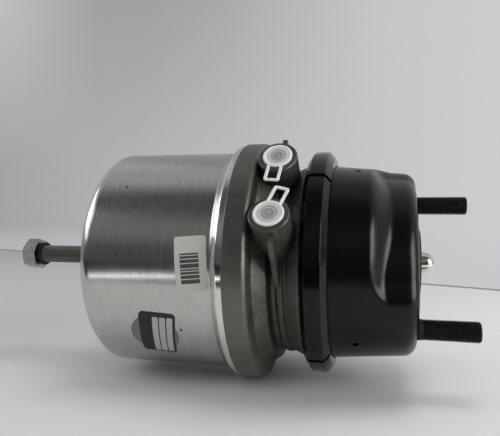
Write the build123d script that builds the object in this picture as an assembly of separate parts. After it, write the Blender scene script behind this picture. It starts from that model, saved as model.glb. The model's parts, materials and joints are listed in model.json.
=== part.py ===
from build123d import *
import os
from math import cos, hypot, radians, sin, sqrt

# Combined spring and service brake chamber, lying along X. The origin is the centre of the
# mounting face, midway between the studs. +X points out along the push rod and +Z is up.
# Angles round the chamber are counted from -Y towards +Z. All lengths are in millimetres.

# Stations along the axis
housing_depth = 74.25
body_length = 63.15
can_length = 119.1
clamp_x = -housing_depth
joint_x = clamp_x - body_length
can_end_x = joint_x - can_length

# Clearances
running_fit = 0.06
soft_gap = 0.4
loose_gap = 0.3
press_gap = 0.05

# Rounds and cuts that many pieces share
fine_round = 0.5
edge_round = 0.8
small_round = 1.0
bend_round = 1.5
cast_round = 2.0
deep_round = 3.0
wide_round = 4.0
overcut = 1.0

# Stud line and port direction
stud_tilt = 39.4
stud_pitch = 120.65
stud_r = 8.0
stud_neck_r = 8.25
stud_length = 44.6
stud_chamfer = 1.2
stud_head_r = 12.5
stud_head_t = 5.0

# Service housing: round cup with a relieved, oval front
housing_r = 79.6
housing_draft = 2.6
housing_wall = 3.0
shoulder_start = 31.5
shoulder_round = 14.0
shoulder_end_r = 50.0
oval_r = 76.1
oval_root = 34.0
oval_taper = 6.0
oval_flank = 64.4
flank_bulge = 16.0
stud_arc = 30.0
flank_arc = 36.0
oval_corner = 14.0
front_round = 10.0
hollow_round = 12.0
hollow_end = 8.0
hollow_longest = 130.0
on_cone = 0.02
vent_r = 2.5
vent_count = 3
vent_angle = 73.0
vent_x = -45.5
face_hole_r = 22.0

# Clamp: channel ring in three sectors over two flanges and the diaphragm's rim
ring_r = 92.0
ring_wall = 2.5
ring_half_web = 5.75
ring_knee_drop = 6.0
ring_knee_out = 4.25
ring_foot_drop = 11.5
ring_foot_out = 4.65
ring_knee_in = 0.5
ring_crown = 3.2
ring_near_crown = 0.8
near_sector_angle = 96.5
sector_gap_angle = 2.5
flange_gap = 0.2
flange_r = 88.6

# Diaphragm
diaphragm_t = 3.5
diaphragm_skin = 3.0
diaphragm_rim_r = 88.4
dish_mouth_r = 72.0
dish_floor_r = 63.0
dish_depth = 24.55
dish_round = 5.0

# Push rod and plate
stroke = 64.0
plate_r = 57.0
plate_t = 2.5
plate_lip = 7.0
plate_lip_in = 4.0
rod_r = 8.5
rod_tip_x = 15.5
rod_root_r = 14.0
rod_root_length = 8.0
return_wire_r = 2.4
return_front_r = 40.0
return_rear_r = 22.0
return_turns = 6

# Front seal with its boot
seal_r = 27.65
seal_t = 3.4
seal_lip = 2.4
boot_reach = 18.0
boot_wall = 2.6
boot_lip = 1.6
seal_mouth = 1.0
seal_round = 1.2

# Centre body
body_flange_t = 16.9
body_flange_round = 4.5
band_drop = 13.1
band_end_drop = 5.0
band_start = 21.6
band_end = 28.8
band_foot = 2.6
band_step = 2.0
neck_drop = 25.3
neck_at = 31.0
ridge_h = 2.2
ridge_foot = 0.6
ridge_start = 35.6
ridge_end = 40.2
collar_h = 4.8
collar_at = 50.0
spigot_length = 11.1
spigot_wall = 6.0
rear_wall = 4.4
channel_depth = 21.0
channel_draft = 2.0
channel_in_r = 32.0
channel_out_r = 68.0

# Air ports
port_x = -104.0
port_m = 27.7
port_h = 99.0
boss_r = 15.0
boss_end_length = 17.0
boss_round = 1.2
boss_root = 55.0
mouth_r = 8.8
mouth_depth = 3.0
thread_r = 7.2
relief_r = 8.0
relief_length = 4.0
passage_r = 4.0
passage_n = 50.0
rib_t = 3.6
rib_x = -101.0
rib_reach = 7.0
rib_drop = 4.0
rib_foot_angle = 52.0

# Transport plugs
plug_r = 11.25
plug_t = 1.6
plug_stem_wall = 1.5
plug_dish_r = 7.0
plug_dish_depth = 0.5
loop_width = 12.0
loop_reach = 14.0
loop_t = 1.4
loop_bar = 2.3
loop_round = 2.0
loop_root_r = 8.4
loop_gap = 1.4
plug_round = 0.56
upper_loop_angle = 184.6
lower_loop_angle = 17.0

# Guide in the centre body's bore
tube_r = 18.0
tube_wall = 3.0
bush_wall = 3.0
bush_length = 14.0
rod_seal_length = 7.5
rod_seal_wall = 4.0
wiper_length = 5.5
bore_land = 1.0

# Spring can
can_r = 92.6
can_wall = 2.6
can_rim_out = 6.2
body_flange_out = 1.3
can_rim_length = 4.6
can_flare_length = 5.8
can_flare_round = 2.9
can_end_round = 12.0
can_seal_r = 2.4
cap_r = 19.0
cap_t = 1.4
cap_seat_wall = 1.2
cap_x = -197.0
cap_angle = -34.5
cap_stem_r = 8.0
cap_proud = 0.3
cap_round = 0.4

# Spring piston
piston_gap = 0.35
piston_disc_t = 8.0
piston_disc_r = 80.0
piston_stop_gap = 1.0
skirt_wall = 8.2
skirt_length = 28.0
skirt_set_back = 14.2
hub_r = 30.0
hub_set_back = 16.0
hub_lip = 6.0
hub_collar_r = 22.0
hub_collar_length = 10.0
hub_foot = 6.0
hub_collar_foot = 4.0
web_slope = 2.0
disc_step = 3.0
groove_depth = 4.1
guide_groove_depth = 2.6
seal_waist = 2.0
seal_lip_start = 2.5
seal_lip_end = 1.6
piston_seal_at = 5.0
piston_seal_width = 6.4
guide_at = 16.0
guide_width = 8.0
end_cap_t = 3.8
end_cap_plug = 4.0
power_wire_r = 5.5
power_rear_r = 74.0
power_front_r = 44.0
power_turns = 4

# Release bolt, bush and hexagon
bolt_r = 8.0
bolt_chamfer = 1.0
bolt_out = 91.5
hex_across = 24.0
hex_height = 13.0
hex_chamfer = 1.4
hex_chamfer_length = 0.84
bolt_head_r = 13.0
bolt_head_t = 8.0
bolt_end = 1.0
washer_t = 2.6
washer_r = 14.4
bolt_fit = 0.08
lip_hole_r = 9.2
o_ring_r = 2.4
bush_r = 13.0
bush_flange_r = 19.0
bush_flange_t = 7.0
bush_proud = 1.0

# Directions across the axis: M runs along the stud line, N along both ports
M = Vector(0, sin(radians(stud_tilt)), cos(radians(stud_tilt)))
N = Vector(0, -cos(radians(stud_tilt)), sin(radians(stud_tilt)))
X = Vector(1, 0, 0)
full_turn = 360

# Stations that follow
rim_rear_x = clamp_x - diaphragm_t / 2
rim_front_x = clamp_x + diaphragm_t / 2
dish_floor_x = clamp_x - dish_depth
diaphragm_rear_x = dish_floor_x + soft_gap
plate_rear_x = diaphragm_rear_x + diaphragm_skin + loose_gap
housing_lip_x = clamp_x + ring_half_web + ring_foot_out - ring_wall - flange_gap + housing_wall
body_rear_x = joint_x + rear_wall
piston_front_x = body_rear_x - piston_stop_gap - stroke
piston_rear_x = piston_front_x - piston_disc_t
lip_rear_x = piston_front_x - hub_set_back
lip_front_x = lip_rear_x + hub_lip
washer_front_x = lip_front_x + washer_t
can_bore_r = can_r - can_wall
can_rim_r = can_r + can_rim_out
body_flange_r = can_rim_r + body_flange_out
band_r = body_flange_r - band_drop
band_end_r = band_r - band_end_drop
neck_r = body_flange_r - neck_drop
ridge_r = neck_r + ridge_h
collar_r = neck_r + collar_h
spigot_r = can_bore_r - loose_gap
can_inside_x = can_end_x + can_wall
hex_inner_x = can_end_x - bolt_out
piston_r = can_bore_r - piston_gap
skirt_front_x = piston_front_x - skirt_set_back
bush_front_x = body_rear_x + bush_length
rod_seal_rear_x = bush_front_x + bore_land
rod_seal_front_x = rod_seal_rear_x + rod_seal_length
wiper_rear_x = dish_floor_x - wiper_length
bush_seat_r = tube_r + bush_wall + press_gap
end_cap_rear_x = dish_floor_x - end_cap_t
far_sector = (full_turn - near_sector_angle) / 2 - 1.5 * sector_gap_angle
far_centre = near_sector_angle / 2 + sector_gap_angle + far_sector / 2


def turned(points, angle=full_turn):
    """Solid of revolution about X from corners (x, radius) or (x, radius, fillet)."""
    corners = [(p[0], p[1]) for p in points]
    rounds = [p[2] if len(p) > 2 else 0 for p in points]
    outline = FilletPolyline(*corners, radius=rounds, close=True)
    return revolve(make_face(outline), Axis.X, angle)


def ring(x0, x1, inner_r, outer_r):
    """Plain ring about X."""
    return turned([(x0, inner_r), (x0, outer_r), (x1, outer_r), (x1, inner_r)])


def rod(x0, x1, r):
    """Plain round bar about X."""
    return Plane(origin=(x0, 0, 0), z_dir=X) * Cylinder(
        r, x1 - x0, align=(Align.CENTER, Align.CENTER, Align.MIN)
    )


def across(x, m, n):
    """Point at x, m along the stud line and n along the port direction."""
    return X * x + M * m + N * n


def port_plane(m, n):
    """Plane square to the port direction: its x is X, its y is M and its z is N."""
    return Plane(origin=across(port_x, m, n), x_dir=X, z_dir=N)


def stud_plane(x):
    """Plane square to the axis: its x is M, its y is N and its z is X."""
    return Plane(origin=(x, 0, 0), x_dir=M, z_dir=X)


def radial_plane(x, angle, h):
    """Plane square to the radius at an angle round the chamber, h from the axis."""
    outward = Vector(0, -cos(radians(angle)), sin(radians(angle)))
    return Plane(origin=X * x + outward * h, x_dir=X, z_dir=outward)


def polar(r, angle):
    return (r * cos(radians(angle)), r * sin(radians(angle)))


def upright(r, length):
    """Cylinder standing on its plane."""
    return Cylinder(r, length, align=(Align.CENTER, Align.CENTER, Align.MIN))


def hanging(r, length):
    """Cylinder hanging below its plane."""
    return Cylinder(r, length, align=(Align.CENTER, Align.CENTER, Align.MAX))


# Service housing

def oval_section(inset):
    """Front outline: full round by the studs, flatter and set in on both flanks."""
    r = oval_r - inset
    flank_r = oval_flank + flank_bulge - inset
    side = radians(90 - flank_arc)
    lean = flank_bulge * cos(side)
    flank_at = sqrt(flank_r**2 - flank_bulge**2 + lean**2) - lean
    outer = polar(r, stud_arc)
    inner = polar(flank_at, flank_arc)
    right = ThreePointArc((outer[0], -outer[1]), (r, 0), outer)
    top = ThreePointArc(inner, (0, oval_flank - inset), (-inner[0], inner[1]))
    left = ThreePointArc((-outer[0], outer[1]), (-r, 0), (-outer[0], -outer[1]))
    bottom = ThreePointArc((-inner[0], -inner[1]), (0, inset - oval_flank), (inner[0], -inner[1]))
    outline = [
        right,
        Line(outer, inner),
        top,
        Line((-inner[0], inner[1]), (-outer[0], outer[1])),
        left,
        Line((-outer[0], -outer[1]), (-inner[0], -inner[1])),
        bottom,
        Line((inner[0], -inner[1]), (outer[0], -outer[1])),
    ]
    face = make_face(outline)
    return fillet(face.vertices(), oval_corner)


def housing_form(inset):
    """The cup's outer form, or its hollow when inset by the wall."""
    cup_r = housing_r - inset
    corner_r = cup_r - housing_draft
    corner_x = -shoulder_start - inset * (sqrt(2) - 1)
    cone_end_x = corner_x + corner_r - shoulder_end_r
    cup = turned([
        (rim_front_x, 0),
        (rim_front_x, cup_r),
        (housing_lip_x, cup_r),
        (corner_x, corner_r, shoulder_round - inset),
        (cone_end_x, shoulder_end_r),
        (cone_end_x, 0),
    ])
    oval = extrude(stud_plane(-oval_root) * oval_section(inset), oval_root - inset, taper=oval_taper)
    front = oval.faces().sort_by(Axis.X)[-1]
    form = cup + fillet(front.edges(), front_round - inset)
    # The shoulder's cone runs over into the oval with a wide hollow round
    seam = []
    for edge in form.edges():
        points = [edge.position_at(t) for t in (0, 0.5, 1)]
        off_cone = max(abs(p.X + hypot(p.Y, p.Z) - corner_x - corner_r) for p in points)
        inside = max(p.X for p in points) < -hollow_end and edge.length < hollow_longest
        if off_cone < on_cone and inside:
            seam.append(edge)
    return fillet(seam, hollow_round + inset)


def flange_face(side):
    """Corners of the flange's sloping outer face, on one side of the clamp plane."""
    slope = ring_wall * hypot(ring_knee_out, ring_knee_drop) / ring_knee_drop
    knee = ring_half_web + ring_knee_out - slope - flange_gap
    top_drop = ring_r - flange_r
    top = ring_half_web + top_drop * ring_knee_out / ring_knee_drop - slope - flange_gap
    foot = ring_half_web + ring_foot_out - ring_wall - flange_gap
    return [
        (clamp_x + side * top, flange_r),
        (clamp_x + side * knee, ring_r - ring_knee_drop - ring_knee_in),
        (clamp_x + side * foot, ring_r - ring_foot_drop - ring_knee_in),
    ]


def service_housing():
    inner_r = housing_r - housing_wall
    rim = turned(
        [(rim_front_x, inner_r), (rim_front_x, flange_r)]
        + flange_face(1)
        + [(housing_lip_x, housing_r), (housing_lip_x, inner_r)]
    )
    shell = housing_form(0) + rim - housing_form(housing_wall)
    shell -= rod(-housing_wall * 2, housing_wall, face_hole_r)
    for side in (-1, 1):
        hole = Plane(origin=across(-housing_wall * 2, side * stud_pitch / 2, 0), z_dir=X)
        shell -= hole * upright(stud_neck_r + press_gap, housing_wall * 3)
    for k in range(vent_count):
        angle = vent_angle + k * full_turn / vent_count
        shell -= radial_plane(vent_x, angle, housing_r / 2) * upright(vent_r, housing_r)
    return shell


def mounting_studs():
    """Two studs, each with a head inside the housing that the wall trims flat."""
    room = housing_form(housing_wall + loose_gap)
    studs = []
    for side in (-1, 1):
        head_plane = Plane(origin=across(-housing_wall - stud_head_t, side * stud_pitch / 2, 0), z_dir=X)
        head = head_plane * upright(stud_head_r, stud_head_t)
        neck = head_plane * upright(stud_neck_r, stud_head_t + housing_wall)
        shank = head_plane * upright(stud_r, stud_head_t + housing_wall + stud_length)
        tip = shank.edges().sort_by(Axis.X)[-1]
        studs.append((head & room) + neck + chamfer(tip, stud_chamfer))
    return Compound(children=[Part() + s for s in studs])


def front_seal():
    """Ring on the mounting face, with a boot lip that closes on the push rod."""
    neck_r = face_hole_r - loose_gap
    lip_r = rod_r + loose_gap
    return turned([
        (seal_t, neck_r + seal_mouth, fine_round),
        (seal_t, seal_r, seal_round),
        (0, seal_r),
        (0, neck_r),
        (-housing_wall - flange_gap, neck_r),
        (-housing_wall - flange_gap, neck_r + housing_wall),
        (-housing_wall - seal_lip, neck_r + housing_wall),
        (-housing_wall - seal_lip, neck_r - seal_mouth, edge_round),
        (-boot_reach, lip_r + boot_lip, fine_round),
        (-boot_reach, lip_r),
        (-boot_reach + boot_wall, lip_r),
        (-housing_wall, neck_r - boot_wall, small_round),
    ])


# Clamp ring

def ring_sector(crown, centre, arc):
    """Channel section bent round the flanges, over one arc of the chamber."""
    inner_slope = ring_wall * hypot(ring_knee_out, ring_knee_drop) / ring_knee_drop
    knee_in = ring_half_web + ring_knee_out - inner_slope
    web_in = ring_half_web + ring_wall * ring_knee_out / ring_knee_drop - inner_slope
    knee_r = ring_r - ring_knee_drop
    foot_r = ring_r - ring_foot_drop
    half = [
        (ring_half_web, ring_r, crown),
        (ring_half_web + ring_knee_out, knee_r, bend_round),
        (ring_half_web + ring_foot_out, foot_r),
        (ring_half_web + ring_foot_out - ring_wall, foot_r),
        (knee_in, knee_r - ring_knee_in, edge_round),
        (web_in, ring_r - ring_wall),
    ]
    front = [(clamp_x + p[0], p[1], p[2] if len(p) > 2 else 0) for p in half]
    back = [(clamp_x - p[0], p[1], p[2] if len(p) > 2 else 0) for p in reversed(half)]
    sector = turned(front + back, arc)
    # A profile above the axis in the XY plane stands at 180 degrees, on the +Y side.
    return sector.rotate(Axis.X, 180 - centre - arc / 2)


# Diaphragm, push plate and rod

def service_diaphragm():
    wall_x = rim_rear_x - diaphragm_rear_x
    lean = (dish_mouth_r - dish_floor_r) / wall_x * diaphragm_skin
    mouth_r = dish_mouth_r - soft_gap
    floor_r = dish_floor_r - soft_gap
    return turned([
        (rim_front_x, diaphragm_rim_r),
        (rim_rear_x, diaphragm_rim_r),
        (rim_rear_x, mouth_r),
        (diaphragm_rear_x, floor_r, dish_round),
        (diaphragm_rear_x, 0),
        (diaphragm_rear_x + diaphragm_skin, 0),
        (diaphragm_rear_x + diaphragm_skin, floor_r - diaphragm_skin + lean, dish_round - diaphragm_skin),
        (rim_front_x, mouth_r - diaphragm_skin + lean),
    ])


def push_plate():
    """Pressed plate with a lip turned forward."""
    back = plate_rear_x
    return turned([
        (back, 0),
        (back, plate_r - plate_lip_in, plate_t + bend_round),
        (back + plate_lip, plate_r),
        (back + plate_lip, plate_r - plate_t),
        (back + plate_t, plate_r - plate_lip_in - plate_t, bend_round),
        (back + plate_t, 0),
    ])


def push_rod():
    """Rod on a stepped root, with a ball end."""
    root = plate_rear_x + plate_t
    body = turned([
        (root, 0),
        (root, rod_root_r),
        (root + rod_root_length, rod_root_r, cast_round),
        (root + rod_root_length, rod_r, deep_round),
        (rod_tip_x - rod_r, rod_r),
        (rod_tip_x - rod_r, 0),
    ])
    return body + Pos(rod_tip_x - rod_r, 0, 0) * Sphere(rod_r)


def cone_spring(x0, r0, x1, r1, wire_r, turns):
    """Conical coil spring about X, from radius r0 at x0 to r1 at x1."""
    height = x1 - x0
    slant = Vector(height, r1 - r0, 0)
    angle = slant.get_angle(X) * (1 if r1 > r0 else -1)
    path = Helix(height / turns, height, r0, center=(x0, 0, 0), direction=(1, 0, 0), cone_angle=angle)
    start = Plane(origin=path @ 0, z_dir=path % 0)
    return sweep(start * Circle(wire_r), path, is_frenet=True)


def return_spring():
    rear = plate_rear_x + plate_t + return_wire_r + loose_gap
    front = -housing_wall - return_wire_r - loose_gap
    return cone_spring(rear, return_rear_r, front, return_front_r, return_wire_r, return_turns)


# Centre body

def body_outline():
    """Outer profile from the spigot in the can to the clamped flange."""
    flange = flange_face(-1)
    front = joint_x + body_flange_t
    return [
        (rim_rear_x, 0),
        (rim_rear_x, flange_r),
    ] + flange + [
        (joint_x + collar_at, collar_r, small_round),
        (joint_x + ridge_end, neck_r + ridge_foot, small_round),
        (joint_x + ridge_end, ridge_r, edge_round),
        (joint_x + ridge_start, ridge_r, edge_round),
        (joint_x + ridge_start - small_round, neck_r, small_round),
        (joint_x + neck_at, neck_r, deep_round),
        (joint_x + band_end, band_end_r, cast_round),
        (joint_x + band_start, band_r, small_round),
        (front + band_foot, band_r + band_step, bend_round),
        (front, body_flange_r, body_flange_round),
        (joint_x, body_flange_r, small_round),
        (joint_x, spigot_r),
        (joint_x - spigot_length, spigot_r),
        (joint_x - spigot_length, spigot_r - spigot_wall),
        (body_rear_x, spigot_r - spigot_wall, cast_round),
        (body_rear_x, 0),
    ]


def port_rib(side):
    """Gusset from the outer side of a port's boss down to the neck."""
    foot = polar(neck_r, 90 - rib_foot_angle)
    points = [
        (side * port_m, port_h - rib_drop),
        (side * (port_m + boss_r + rib_reach), port_h - rib_drop),
        (side * foot[0], foot[1]),
        (side * port_m, boss_root),
    ]
    rib = extrude(stud_plane(rib_x) * Polygon(*points, align=None), rib_t / 2, both=True)
    return rib - port_plane(side * port_m, 0) * upright(boss_r + press_gap, port_h) - turned(body_outline())


def port_boss(side):
    """Threaded outer end of a port's boss, relieved where the thread runs out."""
    top = port_plane(side * port_m, port_h)
    foot = port_plane(side * port_m, port_h - boss_end_length)
    boss = top * hanging(boss_r, boss_end_length)
    rim = boss.edges().filter_by(GeomType.CIRCLE).sort_by(lambda e: e.center().dot(N))[-1]
    boss = fillet(rim, boss_round) - top * hanging(mouth_r, mouth_depth) - top * hanging(thread_r, port_h)
    return boss - foot * upright(relief_r, relief_length)


def centre_body():
    body = turned(body_outline())
    for side in (-1, 1):
        foot = port_plane(side * port_m, boss_root)
        boss_seat = port_plane(side * port_m, port_h - boss_end_length)
        body += foot * upright(boss_r, port_h - boss_end_length - boss_root)
        body -= boss_seat * upright(boss_r + press_gap, boss_end_length)
    # Dish in front, which the diaphragm rests in
    body -= turned([
        (rim_rear_x + overcut, 0),
        (rim_rear_x + overcut, dish_mouth_r),
        (rim_rear_x, dish_mouth_r),
        (dish_floor_x, dish_floor_r, dish_round),
        (dish_floor_x, 0),
    ])
    # Cored channel round the bore at the rear
    body -= turned([
        (body_rear_x - overcut, channel_in_r),
        (body_rear_x - overcut, channel_out_r),
        (body_rear_x + channel_depth, channel_out_r - channel_draft, deep_round),
        (body_rear_x + channel_depth, channel_in_r + channel_draft, deep_round),
    ])
    # Bore for the piston tube, with seats for bush, seal and wiper
    body -= rod(body_rear_x - overcut, dish_floor_x + overcut, tube_r + loose_gap)
    body -= rod(body_rear_x - overcut, bush_front_x, bush_seat_r)
    body -= rod(rod_seal_rear_x, rod_seal_front_x, tube_r + rod_seal_wall + press_gap)
    body -= rod(wiper_rear_x, dish_floor_x + overcut, bush_seat_r)
    # Ports: a passage inwards from each boss, then one forward and one to the rear
    for side in (-1, 1):
        body -= port_plane(side * port_m, passage_n) * upright(passage_r, port_h)
    service = Plane(origin=across(port_x, -port_m, passage_n), z_dir=X)
    body -= service * upright(passage_r, dish_floor_x - port_x + overcut)
    spring = Plane(origin=across(port_x, port_m, passage_n), z_dir=-X)
    body -= spring * upright(passage_r, port_x - body_rear_x + overcut)
    return body


def rod_guide_bush():
    return ring(body_rear_x, bush_front_x, tube_r + running_fit, tube_r + bush_wall)


def rod_seal():
    return ring(rod_seal_rear_x, rod_seal_front_x, tube_r + running_fit, tube_r + rod_seal_wall)


def rod_wiper():
    return ring(wiper_rear_x, dish_floor_x, tube_r + running_fit, tube_r + bush_wall)


# Transport plugs

def port_plug(side, loop_angle):
    """Hollow push-in plug with a dished disc and a flat pull loop beside it."""
    seat = port_plane(side * port_m, port_h)
    disc = seat * upright(plug_r, plug_t)
    disc = fillet(disc.edges().filter_by(GeomType.CIRCLE), plug_round)
    stem_r = mouth_r - loose_gap
    stem_length = mouth_depth - loose_gap
    stem = seat * hanging(stem_r, stem_length)
    stem -= seat * hanging(stem_r - plug_stem_wall, stem_length)
    dish = seat * Pos(0, 0, plug_t - plug_dish_depth) * upright(plug_dish_r, plug_t)
    tip = plug_r + loop_reach
    outer = Pos(0, (loop_root_r + tip) / 2) * RectangleRounded(loop_width, tip - loop_root_r, loop_round)
    hole_length = loop_reach - loop_bar * 2
    hole_middle = plug_r + loop_gap + hole_length / 2
    hole = Pos(0, hole_middle) * Rectangle(loop_width - 2 * loop_bar, hole_length)
    loop = seat * Rot(0, 0, -loop_angle) * extrude(outer - hole, loop_t)
    return disc + stem + loop - dish


# Spring can

def can_form(inset):
    """The can's outer form, or its hollow when inset by the wall."""
    flare_x = joint_x - can_rim_length
    open_x = joint_x + (overcut if inset else 0)
    return turned([
        (open_x, 0),
        (open_x, can_rim_r - inset),
        (flare_x + inset / 2, can_rim_r - inset, can_flare_round - inset / 2),
        (flare_x - can_flare_length + inset / 2, can_r - inset, can_flare_round + inset),
        (can_end_x + inset, can_r - inset, can_end_round - inset),
        (can_end_x + inset, 0),
    ])


def cap_blank(gap):
    """Round bar that cuts the cap, or with a gap its seat, out of the can's wall."""
    return radial_plane(cap_x, cap_angle, 0) * upright(cap_r + gap, can_rim_r)


def spring_can():
    can = can_form(0) - can_form(can_wall)
    can -= rod(can_end_x - overcut, can_inside_x + overcut, bush_r + press_gap)
    can -= cap_blank(loose_gap) - rod(can_end_x, joint_x, can_r - can_wall + cap_seat_wall)
    return can - radial_plane(cap_x, cap_angle, 0) * upright(cap_stem_r + loose_gap, can_rim_r)


def vent_cap():
    """Thin round cap bent to the can, with a stem through the can's wall."""
    cap_top_r = can_r + cap_proud
    disc = cap_blank(0) & ring(can_end_x, joint_x, cap_top_r - cap_t, cap_top_r)
    top = disc.edges().sort_by(lambda e: hypot(e.center().Y, e.center().Z))[-1]
    stem = radial_plane(cap_x, cap_angle, 0) * upright(cap_stem_r, can_rim_r)
    stem &= ring(can_end_x, joint_x, can_bore_r, cap_top_r - cap_t / 2)
    return fillet(top, cap_round) + stem


def can_seal_ring():
    centre_r = spigot_r + loose_gap + can_seal_r
    middle = joint_x - can_seal_r - loose_gap / 2
    section = Pos(middle, centre_r) * Circle(can_seal_r)
    return revolve(section, Axis.X)


# Spring piston

def spring_piston():
    skirt_rear_x = skirt_front_x - skirt_length
    skirt_in_r = piston_r - skirt_wall
    seal_x = skirt_front_x - piston_seal_at
    guide_x = skirt_front_x - guide_at
    bore_r = tube_r + press_gap
    piston = turned([
        (lip_rear_x, lip_hole_r),
        (lip_rear_x, hub_r, cast_round),
        (piston_rear_x, hub_r + hub_foot, deep_round),
        (piston_rear_x, piston_disc_r - piston_disc_t, wide_round),
        (skirt_front_x - web_slope, skirt_in_r, wide_round),
        (skirt_rear_x, skirt_in_r),
        (skirt_rear_x, piston_r, small_round),
        (skirt_front_x, piston_r, small_round),
        (skirt_front_x, piston_disc_r + disc_step, cast_round),
        (piston_front_x, piston_disc_r, wide_round),
        (piston_front_x, hub_collar_r + hub_collar_foot, deep_round),
        (piston_front_x + hub_collar_length, hub_collar_r, small_round),
        (piston_front_x + hub_collar_length, bore_r),
        (lip_front_x, bore_r),
        (lip_front_x, lip_hole_r),
    ])
    piston -= ring(seal_x - piston_seal_width, seal_x, piston_r - groove_depth, can_bore_r)
    piston -= ring(guide_x - guide_width, guide_x, piston_r - guide_groove_depth, can_bore_r)
    return piston


def piston_seal():
    """Lip seal in the skirt's front groove."""
    x1 = skirt_front_x - piston_seal_at - press_gap
    x0 = x1 - piston_seal_width + 2 * press_gap
    root = piston_r - groove_depth + press_gap
    lip = can_bore_r - running_fit
    waist = lip - seal_waist
    return turned([
        (x0, root),
        (x0, waist, fine_round),
        (x1 - seal_lip_start, waist, edge_round),
        (x1 - seal_lip_end, lip),
        (x1, lip),
        (x1, root),
    ])


def piston_guide_ring():
    x1 = skirt_front_x - guide_at - press_gap
    x0 = x1 - guide_width + 2 * press_gap
    return ring(x0, x1, piston_r - guide_groove_depth + press_gap, can_bore_r - running_fit)


def piston_tube():
    return ring(lip_front_x, end_cap_rear_x, tube_r - tube_wall, tube_r)


def tube_end_cap():
    """Cap that closes the tube and pushes on the diaphragm."""
    inner_r = tube_r - tube_wall - press_gap
    return turned([
        (dish_floor_x, 0),
        (dish_floor_x, tube_r, bend_round),
        (end_cap_rear_x, tube_r),
        (end_cap_rear_x, inner_r),
        (end_cap_rear_x - end_cap_plug, inner_r, small_round),
        (end_cap_rear_x - end_cap_plug, 0),
    ])


def power_spring():
    rear = can_inside_x + power_wire_r + loose_gap
    front = piston_rear_x - power_wire_r - loose_gap
    return cone_spring(rear, power_rear_r, front, power_front_r, power_wire_r, power_turns)


# Release bolt

def release_bolt():
    """Threaded bolt with a round head inside the piston tube."""
    head_x = washer_front_x
    shank = rod(hex_inner_x - hex_height - bolt_end, head_x + bolt_head_t, bolt_r)
    shank = chamfer(shank.edges().filter_by(GeomType.CIRCLE), bolt_chamfer)
    head = rod(head_x, head_x + bolt_head_t - bolt_chamfer, bolt_head_r)
    return shank + chamfer(head.edges().filter_by(GeomType.CIRCLE), bolt_chamfer)


def release_hex_nut():
    """Hexagon with both faces chamfered, fixed on the bolt's outer end."""
    x0 = hex_inner_x - hex_height
    face = Plane(origin=(x0, 0, 0), x_dir=(0, 0, 1), z_dir=X)
    nut = extrude(face * RegularPolygon(hex_across / 2, 6, major_radius=False), hex_height)
    corner_r = hex_across / sqrt(3)
    rounding = turned([
        (x0, 0),
        (x0, corner_r - hex_chamfer),
        (x0 + hex_chamfer_length, corner_r),
        (hex_inner_x - hex_chamfer_length, corner_r),
        (hex_inner_x, corner_r - hex_chamfer),
        (hex_inner_x, 0),
    ])
    return (nut & rounding) - rod(x0 - overcut, hex_inner_x + overcut, bolt_r + press_gap)


def bolt_o_ring():
    section = Pos(hex_inner_x + o_ring_r, bolt_r + press_gap + o_ring_r) * Circle(o_ring_r)
    return revolve(section, Axis.X)


def thrust_washer():
    return ring(lip_front_x, washer_front_x, bolt_r + loose_gap, washer_r)


def bolt_bush():
    """Flanged threaded bush in the can's end."""
    return turned([
        (can_end_x - bush_proud, bolt_r + bolt_fit),
        (can_end_x - bush_proud, bush_r, fine_round),
        (can_inside_x, bush_r),
        (can_inside_x, bush_flange_r),
        (can_inside_x + bush_flange_t, bush_flange_r, small_round),
        (can_inside_x + bush_flange_t, bolt_r + bolt_fit),
    ])


pieces = {
    "spring_can": spring_can(),
    "vent_cap": vent_cap(),
    "bolt_bush": bolt_bush(),
    "can_seal_ring": can_seal_ring(),
    "centre_body": centre_body(),
    "service_port_boss": port_boss(-1),
    "service_port_rib": port_rib(-1),
    "spring_port_boss": port_boss(1),
    "spring_port_rib": port_rib(1),
    "rod_guide_bush": rod_guide_bush(),
    "rod_seal": rod_seal(),
    "rod_wiper": rod_wiper(),
    "clamp_ring_front": ring_sector(ring_near_crown, 0, near_sector_angle),
    "clamp_ring_top": ring_sector(ring_crown, far_centre, far_sector),
    "clamp_ring_bottom": ring_sector(ring_crown, -far_centre, far_sector),
    "service_diaphragm": service_diaphragm(),
    "service_housing": service_housing(),
    "mounting_studs": mounting_studs(),
    "front_seal": front_seal(),
    "return_spring": return_spring(),
    "push_plate": push_plate(),
    "push_rod": push_rod(),
    "power_spring": power_spring(),
    "spring_piston": spring_piston(),
    "piston_seal": piston_seal(),
    "piston_guide_ring": piston_guide_ring(),
    "piston_tube": piston_tube(),
    "tube_end_cap": tube_end_cap(),
    "thrust_washer": thrust_washer(),
    "release_bolt": release_bolt(),
    "release_hex_nut": release_hex_nut(),
    "bolt_o_ring": bolt_o_ring(),
    "service_port_plug": port_plug(-1, lower_loop_angle),
    "spring_port_plug": port_plug(1, upper_loop_angle),
}

os.makedirs("parts", exist_ok=True)
for node, shape in pieces.items():
    export_step(shape, "parts/" + node + ".step")
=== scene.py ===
import json
import math

import bpy
from mathutils import Matrix, Vector


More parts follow.
